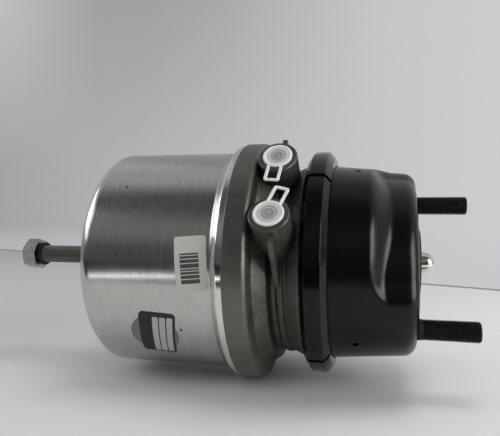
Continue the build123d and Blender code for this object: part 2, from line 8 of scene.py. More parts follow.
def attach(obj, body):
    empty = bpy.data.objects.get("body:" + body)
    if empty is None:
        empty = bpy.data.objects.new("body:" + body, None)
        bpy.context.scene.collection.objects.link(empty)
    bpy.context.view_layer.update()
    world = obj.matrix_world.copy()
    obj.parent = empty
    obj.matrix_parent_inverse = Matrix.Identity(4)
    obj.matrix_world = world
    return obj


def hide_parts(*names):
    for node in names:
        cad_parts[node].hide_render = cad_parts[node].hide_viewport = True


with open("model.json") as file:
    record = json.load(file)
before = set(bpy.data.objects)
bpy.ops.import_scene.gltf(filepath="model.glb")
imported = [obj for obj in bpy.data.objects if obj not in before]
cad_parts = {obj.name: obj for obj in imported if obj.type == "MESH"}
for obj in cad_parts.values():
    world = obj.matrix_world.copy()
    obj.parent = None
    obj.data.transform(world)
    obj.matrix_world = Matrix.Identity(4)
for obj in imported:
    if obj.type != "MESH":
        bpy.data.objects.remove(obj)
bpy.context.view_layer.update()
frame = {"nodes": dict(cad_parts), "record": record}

# A combined spring and service brake chamber on a pale table. Its axis is X, the mounting face is
# at x = 0 and the studs stand towards +X. Lengths are in millimetres until a mesh is made, where
# MM turns them into metres. Angles round the chamber are counted from -Y towards +Z.
MM = 0.001

# Stud line M and port direction N, as in the solids
tilt = math.radians(39.4)
M = Vector((0, math.sin(tilt), math.cos(tilt)))
N = Vector((0, -math.cos(tilt), math.sin(tilt)))
X = Vector((1, 0, 0))

# Spring can and what sticks to it
can_r = 92.6
can_rim_inner_r = 93.6
cap_x = -197.0
cap_angle = -34.5
cap_r = 19.0
cap_proud = 0.3
cap_step = 2.0
cap_clear = 3.5

# Labels. Corners are x and angle, from the top left clockwise. Their print is placed by shares of
# the label's width and height.
label_lift = 0.12
print_lift = 0.2
label_cells = 20
bars_corners = ((-175.9, 15.0), (-151.3, 16.1), (-148.2, -8.6), (-173.0, -10.2))
bars_round = 1.2
bars_top = 0.31
bar_left = 0.17
bar_right = 0.76
bar_count = 8
bar_thin = 0.030
bar_growth = 0.015
bar_cycle = 4
bar_gap = 0.019
fields_corners = ((-206.2, -20.5), (-176.7, -21.7), (-184.9, -49.3), (-211.9, -47.6))
fields_round = 2.0
field_count = 3
field_left = 0.375
field_pitch = 0.197
field_width = 0.165
field_top = 0.09
field_foot = 0.95
field_round = 0.3

# Threads: M16 with a fine pitch. Root and flank are shares of half a pitch.
thread_r = 8.0
thread_pitch = 1.5
thread_depth = 0.85
thread_root = 0.12
thread_flank = 0.72
thread_sides = 56
thread_steps = 8

# Studs
stud_m = 60.325
stud_root_x = -8.0
stud_head_r = 12.5
stud_head_t = 5.0
stud_head_edge = 0.6
stud_head_slack = 0.01
stud_head_limit = 66.0
stud_neck_r = 8.25
stud_wall_x = -3.0
stud_thread_x = 2.5
stud_end_x = 44.6
stud_chamfer = 1.2

# Release bolt
bolt_end_x = -362.0
bolt_head_x = -205.4
bolt_head_t = 8.0
bolt_head_r = 13.0
bolt_chamfer = 1.0

# Hexagon on the bolt and the ring beside it
hex_x = -361.0
hex_height = 13.0
hex_across = 25.5
hex_chamfer = 1.5
hex_chamfer_length = 0.9
hex_chamfer_steps = 6
hex_sides = 72
hex_corner_angle = 78.8
o_ring_x = -344.8
o_ring_centre_r = 9.5
o_ring_r = 1.5
o_ring_steps = 20

# Service housing: a drafted cup whose front is scooped out on both flanks, midway between the studs.
# Angles from the middle of a flank are in degrees.
housing_lip_x = -63.55
housing_lip_r = 79.6
housing_draft = 0.081
housing_wall = 3.0
housing_front_round = 10.0
housing_hole_r = 22.0
housing_rim = ((-72.5, 76.6), (-72.5, 88.6), (-69.36, 88.6), (-67.51, 85.5), (-66.55, 80.0))
housing_sides = 240
housing_back_step = 2.0
housing_front_step = 0.9
housing_front_start = -40.5
housing_bend_steps = 12
housing_ring_room = 1.0
scoop_start_x = -36.5
scoop_depth = 13.3
scoop_fall = 0.0028
scoop_slope = 1.45
scoop_corner = 30.0
scoop_corner_set = 14.0
scoop_end = 64.0
scoop_fade = 20.0
vent_x = -45.5
vent_r = 2.5
vent_angles = (73.0, 193.0, 313.0)
vent_sides = 24
vent_drill_in = 15.0
vent_drill_out = 5.0

# Air ports and their plugs
port_x = -104.0
port_m = 27.7
port_h = 99.0
plug_r = 11.25
plug_t = 1.6
plug_stem_r = 8.5
plug_stem_length = 2.7
plug_stem_wall = 1.5
plug_ring_pitch = 1.9
loop_width = 12.0
loop_reach = 14.0
loop_bar = 2.3
loop_t = 1.4
loop_root_r = 8.4
loop_round = 2.0
loop_hole_round = 0.5
loop_soft = 0.35
loop_corner_steps = 6
plug_sides = 72
upper_loop_turn = 184.6
lower_loop_turn = 17.0

# Cloth in the diaphragm, in radians for each millimetre
weave_rate = 4.2

# Table and camera
table_z = -100.1
wall_y = 2600.0
far = 6000.0
table_front_y = -310.0
table_front_soft = 8.0
table_edge_x = 171.7
table_edge_y = 523.7
table_edge_slope = -0.366
camera_at = (-28.675, -460.329, 48.542)
camera_forward = Vector((-0.23463, 0.97172, -0.02670))
camera_right = Vector((0.97206, 0.23472, 0.0))
photo_width = 500
focal_px = 536.2
sensor_mm = 36.0
clip_from_mm = 10.0
clip_to_mm = 50000.0


class Shade:
    """A socket of one material's tree. Sums and products of it add Math nodes."""

    def __init__(self, paint, socket):
        self.paint = paint
        self.socket = socket

    def math(self, operation, *values, clamp=False):
        sockets = dict(enumerate(values))
        return self.paint.node("Math", {"operation": operation, "use_clamp": clamp}, sockets)

    def __add__(self, other):
        return self.math("ADD", self, other)

    def __radd__(self, other):
        return self.math("ADD", other, self)

    def __sub__(self, other):
        return self.math("SUBTRACT", self, other)

    def __rsub__(self, other):
        return self.math("SUBTRACT", other, self)

    def __mul__(self, other):
        return self.math("MULTIPLY", self, other)

    def __truediv__(self, other):
        return self.math("DIVIDE", self, other)

    def __neg__(self):
        return self.math("MULTIPLY", self, -1.0)

    def __abs__(self):
        return self.math("ABSOLUTE", self)

    def root(self):
        return self.math("SQRT", self)

    def clear(self):
        return self.math("ADD", self, 0.0, clamp=True)

    def rise(self, low, high):
        """0 below low, 1 above high and a straight slope between."""
        return ((self - low) / (high - low)).clear()

    def fall(self, low, high):
        return 1 - self.rise(low, high)

    def near(self, centre, half, soft):
        """1 within half of centre, 0 further than half + soft."""
        return abs(self - centre).fall(half, half + soft)


class Paint:
    """One material and the nodes that make it."""

    def __init__(self, name):
        self.material = bpy.data.materials.new(name)
        self.material.use_nodes = True
        self.tree = self.material.node_tree
        self.tree.nodes.clear()
        self.places = {}

    def node(self, kind, settings=None, sockets=None, output=0):
        made = self.tree.nodes.new("ShaderNode" + kind)
        for key, value in (settings or {}).items():
            setattr(made, key, value)
        for key, value in (sockets or {}).items():
            if isinstance(value, Shade):
                self.tree.links.new(value.socket, made.inputs[key])
            else:
                made.inputs[key].default_value = value
        return Shade(self, made.outputs[output])

    def at(self):
        """The point on the chamber at rest, in millimetres."""
        if "at" not in self.places:
            sockets = {0: self.node("TexCoord", output="Object"), "Scale": 1 / MM}
            self.places["at"] = self.node("VectorMath", {"operation": "SCALE"}, sockets)
        return self.places["at"]

    def along(self, axis):
        """How far the point lies along axis 0, 1 or 2, in millimetres."""
        if axis not in self.places:
            self.places[axis] = self.node("SeparateXYZ", None, {0: self.at()}, axis)
        return self.places[axis]

    def x(self):
        return self.along(0)

    def y(self):
        return self.along(1)

    def z(self):
        return self.along(2)

    def radius(self):
        return (self.y() * self.y() + self.z() * self.z()).root()

    def angle(self):
        """Degrees round the chamber from -Y towards +Z."""
        return self.z().math("ARCTAN2", self.z(), -self.y()) * math.degrees(1)

    def noise(self, size, detail=2.0, rough=0.5, at=None, stretch=None):
        """Noise from 0 to 1 whose grain is about size millimetres across."""
        at = at or self.at()
        if stretch:
            at = self.node("VectorMath", {"operation": "MULTIPLY"}, {0: at, 1: stretch})
        sockets = {"Vector": at, "Scale": 1 / size, "Detail": detail, "Roughness": rough}
        return self.node("TexNoise", None, sockets, "Fac")

    def cells(self, size, output="Distance"):
        return self.node("TexVoronoi", None, {"Vector": self.at(), "Scale": 1 / size}, output)

    def turned_lay(self, around):
        """Coordinates whose first axis runs along a turned profile and whose others go round it."""
        r = self.radius() + 0.001
        sockets = {"X": r - self.x(), "Y": self.y() / r * around, "Z": self.z() / r * around}
        return self.node("CombineXYZ", None, sockets)

    def mix(self, mask, low, high):
        """Colour low where mask is 0 and high where it is 1."""
        sockets = {0: mask, 6: self.colour(low), 7: self.colour(high)}
        return self.node("Mix", {"data_type": "RGBA"}, sockets, 2)

    @staticmethod
    def colour(value):
        if isinstance(value, Shade):
            return value
        if isinstance(value, (int, float)):
            value = (value, value, value)
        return (*value, 1.0)

    def bump(self, height, depth, normal=None):
        """Normal for a relief whose height from 0 to 1 stands for depth millimetres."""
        sockets = {"Height": height, "Distance": depth * MM}
        if normal:
            sockets["Normal"] = normal
        return self.node("Bump", None, sockets)

    def surface(self, base, roughness, metallic, normal, **fixed):
        sockets = {"Base Color": self.colour(base), "Roughness": roughness, "Metallic": metallic}
        sockets["Normal"] = normal
        sockets.update({key.replace("_", " "): value for key, value in fixed.items()})
        shader = self.node("BsdfPrincipled", None, sockets, "BSDF")
        self.out(shader)
        return self.material

    def out(self, shader):
        end = self.tree.nodes.new("ShaderNodeOutputMaterial")
        self.tree.links.new(shader.socket, end.inputs["Surface"])


# Finishes

def brushed_aluminium():
    """Drawn can: brushed round its axis, polished on the rolled rim, a few scuffs and specks."""
    p = Paint("can_brushed_aluminium")
    x = p.x()
    r = p.radius()
    angle = p.angle()
    fine = p.noise(0.35, 2.0, 0.6, p.turned_lay(4.0))
    broad = p.noise(1.6, 3.0, 0.6, p.turned_lay(12.0))
    cloud = p.noise(38.0, 3.0, 0.6)
    scuff = p.noise(5.0, 3.0, 0.55, stretch=(0.25, 1.0, 0.8)).rise(0.62, 0.75) * cloud.rise(0.45, 0.6)
    rim = r.rise(can_rim_inner_r, can_rim_inner_r + 1.5)
    specks = 0
    for speck_x, speck_angle, half in ((-223.6, 41.8, 0.7), (-174.4, -30.7, 0.8), (-222.0, 6.0, 0.4)):
        specks = x.near(speck_x, half, 0.5) * angle.near(speck_angle, half * 0.5, 0.35) + specks
    base = p.mix(broad.rise(0.3, 0.7), (0.53, 0.532, 0.52), (0.64, 0.64, 0.622))
    base = p.mix(fine.rise(0.35, 0.65) * 0.22, base, (0.36, 0.36, 0.355))
    base = p.mix(scuff * 0.35, base, (0.40, 0.40, 0.39))
    base = p.mix(rim * 0.7, base, (0.86, 0.86, 0.84))
    base = p.mix(specks.clear(), base, 0.04)
    rough = 0.13 + fine * 0.08 + broad * 0.06 + scuff * 0.12 - rim * 0.08
    normal = p.bump(broad, 0.035)
    normal = p.bump(fine, 0.05, normal)
    return p.surface(base, rough, 1.0, normal)


def cast_aluminium():
    """Die cast body: grainy skin, with turned and spot-faced faces brighter, and painted shade in the
    recess of the neck.
    """
    p = Paint("body_cast_aluminium")
    x = p.x()
    grain = p.noise(0.7, 3.0, 0.65)
    patches = p.noise(16.0, 4.0, 0.6)
    pits = p.noise(2.4, 2.0, 0.5)
    r = p.radius()
    turned = r.rise(86.0, 87.5) * x.fall(-121.0, -119.0)
    # Painted shade: the neck between flange and ring is darkened inwards, where shade falls in the
    # recess
    recess_shade = r.fall(74.0, 92.0) * x.rise(-120.0, -112.0)
    lay = p.noise(0.5, 2.0, 0.6, p.turned_lay(20.0))
    stains = p.noise(5.0, 4.0, 0.65)
    base = p.mix(patches.rise(0.3, 0.7), (0.075, 0.075, 0.066), (0.225, 0.22, 0.197))
    base = p.mix(stains.rise(0.5, 0.68) * 0.5, base, (0.05, 0.048, 0.041))
    base = p.mix(pits.rise(0.35, 0.6) * 0.25, base, (0.17, 0.167, 0.152))
    base = p.mix(turned * 0.5, base, (0.20, 0.197, 0.186))
    # Painted shade in the neck's recess, broken up by the patches
    base = p.mix(recess_shade * (0.35 + patches * 0.5), base, (0.07, 0.068, 0.062))
    rough = 0.34 + grain * 0.2 + patches * 0.1 - turned * 0.06
    relief = grain * (1 - turned * 0.7) + lay * turned * 0.4
    normal = p.bump(pits, 0.14)
    normal = p.bump(relief, 0.07, normal)
    return p.surface(base, rough, 0.9, normal)


def machined_aluminium():
    p = Paint("piston_turned_aluminium")
    lay = p.noise(0.6, 2.0, 0.5, p.turned_lay(8.0))
    cloud = p.noise(20.0)
    base = p.mix(cloud, (0.55, 0.56, 0.57), (0.66, 0.67, 0.68))
    return p.surface(base, 0.26 + lay * 0.14, 1.0, p.bump(lay, 0.03))


def black_paint(name, gloss, dust_share):
    """Glossy black dip coat with a slight orange peel, dust and small chips."""
    p = Paint(name)
    peel = p.noise(2.2, 2.0, 0.5)
    slow = p.noise(24.0, 3.0, 0.5)
    dust = p.noise(0.9, 1.0, 0.5).rise(0.70, 0.78) * slow.rise(0.45, 0.65)
    base = p.mix(slow, 0.0015, 0.003)
    base = p.mix(dust * dust_share, base, (0.10, 0.10, 0.095))
    rough = gloss + slow * 0.07 + dust * 0.3
    normal = p.bump(slow, 0.12)
    normal = p.bump(peel, 0.012, normal)
    return p.surface(base, rough, 0.0, normal, IOR=1.5, Specular_IOR_Level=0.28)


def black_oxide(name, dark, light):
    """Blackened steel of studs, bolt and springs, brighter where it is rubbed."""
    p = Paint(name)
    cloud = p.noise(6.0, 3.0, 0.6)
    grain = p.noise(0.5, 2.0, 0.6)
    base = p.mix(cloud * grain.rise(0.3, 0.8), dark, light)
    rough = 0.38 + grain * 0.22
    return p.surface(base, rough, 0.85, p.bump(grain, 0.02))


def rubber(name, tone):
    p = Paint(name)
    grain = p.noise(0.6, 2.0, 0.5)
    bloom = p.noise(12.0, 3.0, 0.6)
    base = p.mix(bloom, tone * 0.7, tone * 1.5)
    return p.surface(base, 0.5 + grain * 0.25, 0.0, p.bump(grain, 0.02), Specular_IOR_Level=0.4)


def zinc_plate(name, tone, spangle):
    """Zinc plate, mottled by its crystals."""
    p = Paint(name)
    grains = p.cells(spangle, "Color")
    shift = p.node("SeparateColor", None, {0: grains}, 0)
    fog = p.noise(3.0, 3.0, 0.6)
    base = p.mix(shift * 0.7 + fog * 0.3, tuple(v * 0.62 for v in tone), tone)
    rough = 0.14 + shift * 0.22 + fog * 0.08
    return p.surface(base, rough, 1.0, p.bump(shift, 0.02))


def polished_rod():
    """Ground and plated rod with a bright ball end."""
    p = Paint("rod_bright_plate")
    lay = p.noise(0.4, 2.0, 0.5, p.turned_lay(4.0))
    fog = p.noise(5.0, 2.0, 0.5)
    base = p.mix(fog, (0.72, 0.71, 0.68), (0.84, 0.83, 0.80))
    return p.surface(base, 0.05 + lay * 0.06 + fog * 0.04, 1.0, p.bump(lay, 0.004))


def bronze():
    p = Paint("bush_sintered_bronze")
    pores = p.cells(0.8)
    base = p.mix(pores.rise(0.1, 0.5), (0.30, 0.20, 0.10), (0.58, 0.42, 0.24))
    return p.surface(base, 0.42, 1.0, p.bump(pores, 0.03))


def moulded_plastic(name, tone, gloss):
    p = Paint(name)
    grain = p.noise(0.8, 2.0, 0.5)
    cloud = p.noise(9.0, 3.0, 0.5)
    base = p.mix(cloud, tuple(v * 0.9 for v in tone), tone)
    return p.surface(base, gloss + grain * 0.15, 0.0, p.bump(grain, 0.012))


def plug_plastic():
    """Milky plug: inside its rim the dished disc is painted darker, with painted shade rings and a
    darker core, as shade in the dish.
    """
    p = Paint("plug_milky_plastic")
    across = p.node("VectorMath", {"operation": "DOT_PRODUCT"}, {0: p.at(), 1: M}, "Value")
    up = p.node("VectorMath", {"operation": "DOT_PRODUCT"}, {0: p.at(), 1: N}, "Value")
    off = abs(across) - port_m
    along = p.x() - port_x
    r = (off * off + along * along).root()
    # Painted shade on the dish: light and dark rings, a darker disc and a darker core
    rings = r.math("SINE", r * (2 * math.pi / plug_ring_pitch))
    inner = r.fall(6.6, 9.8)
    core = r.fall(3.6, 6.4)
    shade = inner * (0.55 + rings * 0.10 + core * 0.30) * up.rise(port_h + 0.3, port_h + 0.8)
    cloud = p.noise(2.5, 2.0, 0.5)
    base = p.mix(shade, (0.78, 0.79, 0.77), (0.13, 0.145, 0.14))
    base = p.mix(cloud * 0.25, base, (0.55, 0.57, 0.55))
    return p.surface(base, 0.32 + cloud * 0.12, 0.0, p.bump(cloud, 0.02))


def paper(name, tone, stain):
    p = Paint(name)
    fibre = p.noise(0.5, 3.0, 0.6)
    cloud = p.noise(7.0, 2.0, 0.5)
    base = p.mix(cloud * 0.6 + fibre * 0.4, tone, stain)
    return p.surface(base, 0.42 + fibre * 0.15, 0.0, p.bump(fibre, 0.008))


def diaphragm_rubber():
    """Fabric shows faintly through the rubber."""
    p = Paint("diaphragm_rubber")
    y = p.y()
    z = p.z()
    weave = y.math("SINE", y * weave_rate) * z.math("SINE", z * weave_rate)
    base = p.mix(p.noise(10.0), 0.018, 0.04)
    return p.surface(base, 0.62, 0.0, p.bump(weave * 0.5 + 0.5, 0.05))


finishes = {
    "brushed_aluminium": brushed_aluminium(),
    "die_cast_aluminium": cast_aluminium(),
    "machined_aluminium": machined_aluminium(),
    "black_paint": black_paint("housing_black_coat", 0.22, 0.35),
    "black_ring": black_paint("ring_black_coat", 0.10, 0.5),
    "black_stud": black_oxide("stud_black_oxide", (0.014, 0.012, 0.010), (0.11, 0.10, 0.085)),
    "black_rubber": rubber("seal_black_rubber", 0.016),
    "diaphragm_rubber": diaphragm_rubber(),
    "spring_steel": black_oxide("spring_coated_steel", (0.02, 0.02, 0.022), (0.08, 0.08, 0.085)),
    "plated_steel": zinc_plate("washer_zinc_plate", (0.62, 0.62, 0.60), 2.5),
    "bright_zinc": zinc_plate("hexagon_zinc_plate", (0.46, 0.47, 0.46), 1.2),
    "dark_steel": black_oxide("bolt_oiled_steel", (0.16, 0.165, 0.15), (0.50, 0.51, 0.47)),
    "bronze": bronze(),
    "guide_plastic": moulded_plastic("guide_plastic", (0.72, 0.69, 0.62), 0.35),
    "grey_cap": moulded_plastic("cap_grey_plastic", (0.17, 0.175, 0.18), 0.38),
    "white_plastic": plug_plastic(),
}
rod_finish = polished_rod()

# Meshes

def new_piece(name, verts, faces, finish, body, ink=None, slots=None):
    """An object from points in millimetres, riding on its body. Faces in slot 1 take the ink."""
    mesh = bpy.data.meshes.new(name)
    mesh.from_pydata([Vector(v) * MM for v in verts], [], faces)
    mesh.materials.append(finish)
    if ink:
        mesh.materials.append(ink)
        mesh.polygons.foreach_set("material_index", slots)
    mesh.polygons.foreach_set("use_smooth", [True] * len(mesh.polygons))
    mesh.update()
    piece = bpy.data.objects.new(name, mesh)
    bpy.context.scene.collection.objects.link(piece)
    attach(piece, body)
    return piece


def soften(piece, angle):
    """Keeps edges sharper than the angle crisp under smooth shading."""
    piece.data.set_sharp_from_angle(angle=math.radians(angle))


def ring_faces(count, sides, closed):
    """Faces between rings that follow each other, each with one point for every side."""
    faces = []
    for i in range(count if closed else count - 1):
        j = (i + 1) % count
        for k in range(sides):
            after = (k + 1) % sides
            corners = ((i, k), (i, after), (j, after), (j, k))
            faces.append(tuple(ring * sides + side for ring, side in corners))
    return faces


def add_shape(verts, faces, more_verts, more_faces):
    """Adds one shape's points and faces to another's."""
    first = len(verts)
    faces.extend(tuple(first + v for v in face) for face in more_faces)
    verts.extend(more_verts)


def spun(rings, origin, axis, side_a, side_b, sides, closed=False):
    """Points and faces of a turned shape. Each ring is (along, radius at each side).

    Its ends are capped, or joined to each other when it is closed.
    """
    verts = []
    for along, radii in rings:
        for k in range(sides):
            turn = 2 * math.pi * k / sides
            out = side_a * math.cos(turn) + side_b * math.sin(turn)
            verts.append(origin + axis * along + out * radii[k])
    faces = ring_faces(len(rings), sides, closed)
    if not closed:
        last = (len(rings) - 1) * sides
        faces.append(tuple(range(sides - 1, -1, -1)))
        faces.append(tuple(range(last, last + sides)))
    return verts, faces


def thread_radius(along, turn, start, end, chamfer):
    """Radius of a right-hand thread at a place along it and an angle round it, in turns."""
    phase = (along / thread_pitch - turn) % 1.0
    flank = abs(phase - 0.5) * 2
    cut = min(1.0, max(0.0, (flank - thread_root) / thread_flank))
    fade = min(1.0, max(0.0, (along - start) / thread_pitch))
    r = thread_r - thread_depth * (1 - cut) * fade
    room = end - along
    return min(r, thread_r - chamfer + room) if room < chamfer else r


def thread_rings(start, end, chamfer):
    steps = math.ceil((end - start) / thread_pitch * thread_steps)
    rings = []
    for i in range(steps + 1):
        along = start + (end - start) * i / steps
        turns = [k / thread_sides for k in range(thread_sides)]
        radii = [thread_radius(along, turn, start, end, chamfer) for turn in turns]
        rings.append((along, radii))
    return rings


def plain_ring(along, r, sides=thread_sides):
    return (along, [r] * sides)


def studs():
    """Both studs, each with its flat head behind the housing's wall."""
    verts = []
    faces = []
    for side in (-1, 1):
        head_end = stud_root_x + stud_head_t
        rings = [
            plain_ring(stud_root_x, stud_head_r - stud_head_edge),
            plain_ring(stud_root_x + stud_head_edge, stud_head_r),
            plain_ring(head_end, stud_head_r),
            plain_ring(stud_wall_x, stud_neck_r),
            plain_ring(0.0, stud_neck_r),
            plain_ring(0.0, thread_r),
        ] + thread_rings(stud_thread_x, stud_end_x, stud_chamfer)
        origin = M * side * stud_m
        some, more = spun(rings, origin, X, M, N, thread_sides)
        for k, point in enumerate(some):
            out = math.hypot(point.dot(M), point.dot(N))
            if point.x < head_end + stud_head_slack and out > stud_head_limit:
                flat = Vector((0, point.y, point.z)) * (stud_head_limit / out)
                some[k] = Vector((point.x, flat.y, flat.z))
        add_shape(verts, faces, some, more)
    finish = finishes["black_stud"]
    piece = new_piece("studs_threaded", verts, faces, finish, "chamber")
    soften(piece, 50)
    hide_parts("mounting_studs")


def release_bolt():
    """Bolt with its thread from end to head."""
    length = bolt_head_x - bolt_end_x
    rings = thread_rings(0.0, length, bolt_chamfer)
    rings = [(length - along, radii) for along, radii in reversed(rings)]
    rings[-1] = (length, [thread_r] * thread_sides)
    rings += [
        plain_ring(length, bolt_head_r - bolt_chamfer),
        plain_ring(length + bolt_chamfer, bolt_head_r),
        plain_ring(length + bolt_head_t - bolt_chamfer, bolt_head_r),
        plain_ring(length + bolt_head_t, bolt_head_r - bolt_chamfer),
    ]
    verts, faces = spun(rings, X * bolt_end_x, X, M, N, thread_sides)
    finish = finishes["dark_steel"]
    piece = new_piece("bolt_threaded", verts, faces, finish, "bolt_group")
    soften(piece, 50)
    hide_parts("release_bolt")


def outwards(angle):
    """Direction square to the axis, at an angle round the chamber."""
    turn = math.radians(angle)
    return Vector((0, -math.cos(turn), math.sin(turn)))


def smooth(value):
    """0 below 0, 1 above 1 and a curve between with no corner at either end."""
    value = min(1.0, max(0.0, value))
    return value * value * (3 - 2 * value)


def housing_radius(x, off_flank):
    """Outer radius before the front round, at an angle from the middle of the nearest flank."""
    depth = scoop_depth - scoop_fall * off_flank**2
    start = scoop_start_x + scoop_corner_set * max(0.0, off_flank / scoop_corner - 1) ** 3
    depth *= smooth((x - start) / (scoop_slope * depth))
    depth *= smooth((scoop_end - off_flank) / scoop_fade)
    return housing_lip_r - housing_draft * (x - housing_lip_x) - depth


def housing_skin(off_flanks, wall):
    """Rings from the lip to the hole in the front, on the outside or set in by the wall."""
    rings = []
    bend_x = -housing_front_round
    last_x = bend_x - housing_ring_room if wall else bend_x
    x = housing_lip_x
    while x < last_x:
        rings.append((x, [housing_radius(x, off) - wall for off in off_flanks]))
        x += housing_back_step if x < housing_front_start else housing_front_step
    edge = [housing_radius(bend_x, off) for off in off_flanks]
    bend = housing_front_round - wall
    for step in range(housing_bend_steps + 1):
        turn = math.radians(90 * step / housing_bend_steps)
        drop = wall + bend * (1 - math.cos(turn))
        rings.append((bend_x + bend * math.sin(turn), [r - drop for r in edge]))
    for inwards in (0.35, 0.7, 1.0):
        radii = [(r + bend_x) * (1 - inwards) + housing_hole_r * inwards for r in edge]
        rings.append((-wall, radii))
    return rings


def housing_rings():
    """Rings round the closed section: outside to the front, back along the inside, then the rim."""
    off_flanks = []
    for k in range(housing_sides):
        from_stud = 360 * k / housing_sides % 180
        off_flanks.append(abs(from_stud - 90))
    outside = housing_skin(off_flanks, 0.0)
    inside = housing_skin(off_flanks, housing_wall)
    rim = [plain_ring(x, r, housing_sides) for x, r in housing_rim]
    return outside + inside[::-1] + rim


def vent_drills():
    """Points and faces of the round bars that cut the drain holes."""
    verts = []
    faces = []
    reach = (housing_lip_r - vent_drill_in, housing_lip_r + vent_drill_out)
    for vent_angle in vent_angles:
        out = outwards(vent_angle)
        ends = [plain_ring(along, vent_r, vent_sides) for along in reach]
        some, more = spun(ends, X * vent_x, out, X, out.cross(X), vent_sides)
        add_shape(verts, faces, some, more)
    return verts, faces


def drilled(shape, drills):
    """Points and faces of a closed shape with others cut out of it."""
    pieces = []
    for verts, faces in (shape, drills):
        mesh = bpy.data.meshes.new("blank")
        mesh.from_pydata(verts, [], faces)
        piece = bpy.data.objects.new("blank", mesh)
        bpy.context.scene.collection.objects.link(piece)
        pieces.append(piece)
    blank, drill = pieces
    cut = blank.modifiers.new("holes", "BOOLEAN")
    cut.operation = "DIFFERENCE"
    cut.solver = "EXACT"
    cut.object = drill
    shaped = blank.evaluated_get(bpy.context.evaluated_depsgraph_get()).to_mesh()
    verts = [v.co.copy() for v in shaped.vertices]
    faces = [tuple(face.vertices) for face in shaped.polygons]
    for piece in pieces:
        bpy.data.objects.remove(piece)
    return verts, faces


def service_housing():
    """Pressed housing with soft scoops and three drain holes."""
    shape = spun(housing_rings(), Vector(), X, M, N, housing_sides, closed=True)
    verts, faces = drilled(shape, vent_drills())
    finish = finishes["black_paint"]
    housing = new_piece("housing_pressed", verts, faces, finish, "chamber")
    soften(housing, 30)
    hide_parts("service_housing")


def release_hexagon():
    """Hexagon with both faces chamfered by a cone."""
    flat = hex_across / 2
    corner = flat / math.cos(math.radians(30))
    radii = []
    for k in range(hex_sides):
        from_corner = 360 * k / hex_sides % 60
        radii.append(flat / math.cos(math.radians(from_corner - 30)))
    stations = []
    for step in range(hex_chamfer_steps + 1):
        share = step / hex_chamfer_steps
        stations.append((hex_chamfer_length * share, corner - hex_chamfer * (1 - share)))
    stations += [(hex_height - along, r) for along, r in reversed(stations)]
    rings = [(along, [min(r, cone) for r in radii]) for along, cone in stations]
    side = outwards(hex_corner_angle)
    verts, faces = spun(rings, X * hex_x, X, side, X.cross(side), hex_sides)
    finish = finishes["bright_zinc"]
    piece = new_piece("hexagon_chamfered", verts, faces, finish, "bolt_group")
    soften(piece, 20)
    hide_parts("release_hex_nut")


def bolt_ring():
    """Rubber ring on the bolt beside the hexagon."""
    rings = []
    for step in range(o_ring_steps):
        turn = 2 * math.pi * step / o_ring_steps
        rings.append(plain_ring(o_ring_r * math.cos(turn), o_ring_centre_r + o_ring_r * math.sin(turn)))
    verts, faces = spun(rings, X * o_ring_x, X, M, N, thread_sides, closed=True)
    finish = finishes["black_rubber"]
    piece = new_piece("bolt_ring_round", verts, faces, finish, "bolt_group")
    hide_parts("bolt_o_ring")


def rounded_corners(half_x, half_y, r):
    """Points round a rectangle with round corners."""
    points = []
    for cx, cy, first in ((1, 1, 0), (-1, 1, 90), (-1, -1, 180), (1, -1, 270)):
        for k in range(loop_corner_steps + 1):
            turn = math.radians(first + 90 * k / loop_corner_steps)
            x = cx * (half_x - r) + r * math.cos(turn)
            y = cy * (half_y - r) + r * math.sin(turn)
            points.append((x, y))
    return points


def loop_frame():
    """Flat pull loop with soft edges, in the plane of the port's mouth: x across, y outwards."""
    tip = plug_r + loop_reach
    middle = (loop_root_r + tip) / 2
    half_x = loop_width / 2
    half_y = (tip - loop_root_r) / 2
    hole_x = half_x - loop_bar
    hole_y = half_y - loop_bar
    soft = loop_soft
    outer = rounded_corners(half_x, half_y, loop_round)
    outer_soft = rounded_corners(half_x - soft, half_y - soft, loop_round - soft)
    inner = rounded_corners(hole_x, hole_y, loop_hole_round)
    inner_soft = rounded_corners(hole_x + soft, hole_y + soft, loop_hole_round + soft)
    rows = [
        [(*q, 0.0) for q in inner],
        [(*q, 0.0) for q in outer_soft],
        [(*q, soft) for q in outer],
        [(*q, loop_t - soft) for q in outer],
        [(*q, loop_t) for q in outer_soft],
        [(*q, loop_t) for q in inner_soft],
        [(*q, loop_t - soft) for q in inner],
    ]
    verts = [(q[0], q[1] + middle, q[2]) for row in rows for q in row]
    return verts, ring_faces(len(rows), len(outer), closed=True)


def plug_profile():
    """Plug from the bottom of its stem over the rim to the middle of its dished disc."""
    return [
        (-plug_stem_length, plug_stem_r - plug_stem_wall),
        (-plug_stem_length, plug_stem_r - 0.3),
        (-plug_stem_length + 0.5, plug_stem_r),
        (0.0, plug_stem_r),
        (0.0, plug_r - 0.3),
        (0.3, plug_r),
        (plug_t - 0.6, plug_r),
        (plug_t - 0.25, plug_r - 0.12),
        (plug_t, plug_r - 0.5),
        (plug_t, plug_r - 1.5),
        (plug_t - 0.15, plug_r - 1.9),
        (plug_t - 0.45, plug_r - 2.3),
        (plug_t - 0.45, 7.6),
        (plug_t - 0.30, 7.3),
        (plug_t - 0.30, 6.9),
        (plug_t - 0.55, 6.6),
        (plug_t - 0.55, 4.4),
        (plug_t - 0.40, 4.1),
        (plug_t - 0.40, 3.6),
        (plug_t - 0.60, 3.3),
        (plug_t - 0.60, 1.4),
        (plug_t - 0.35, 1.1),
        (plug_t - 0.35, 0.3),
        (plug_t - 0.40, 0.02),
    ]


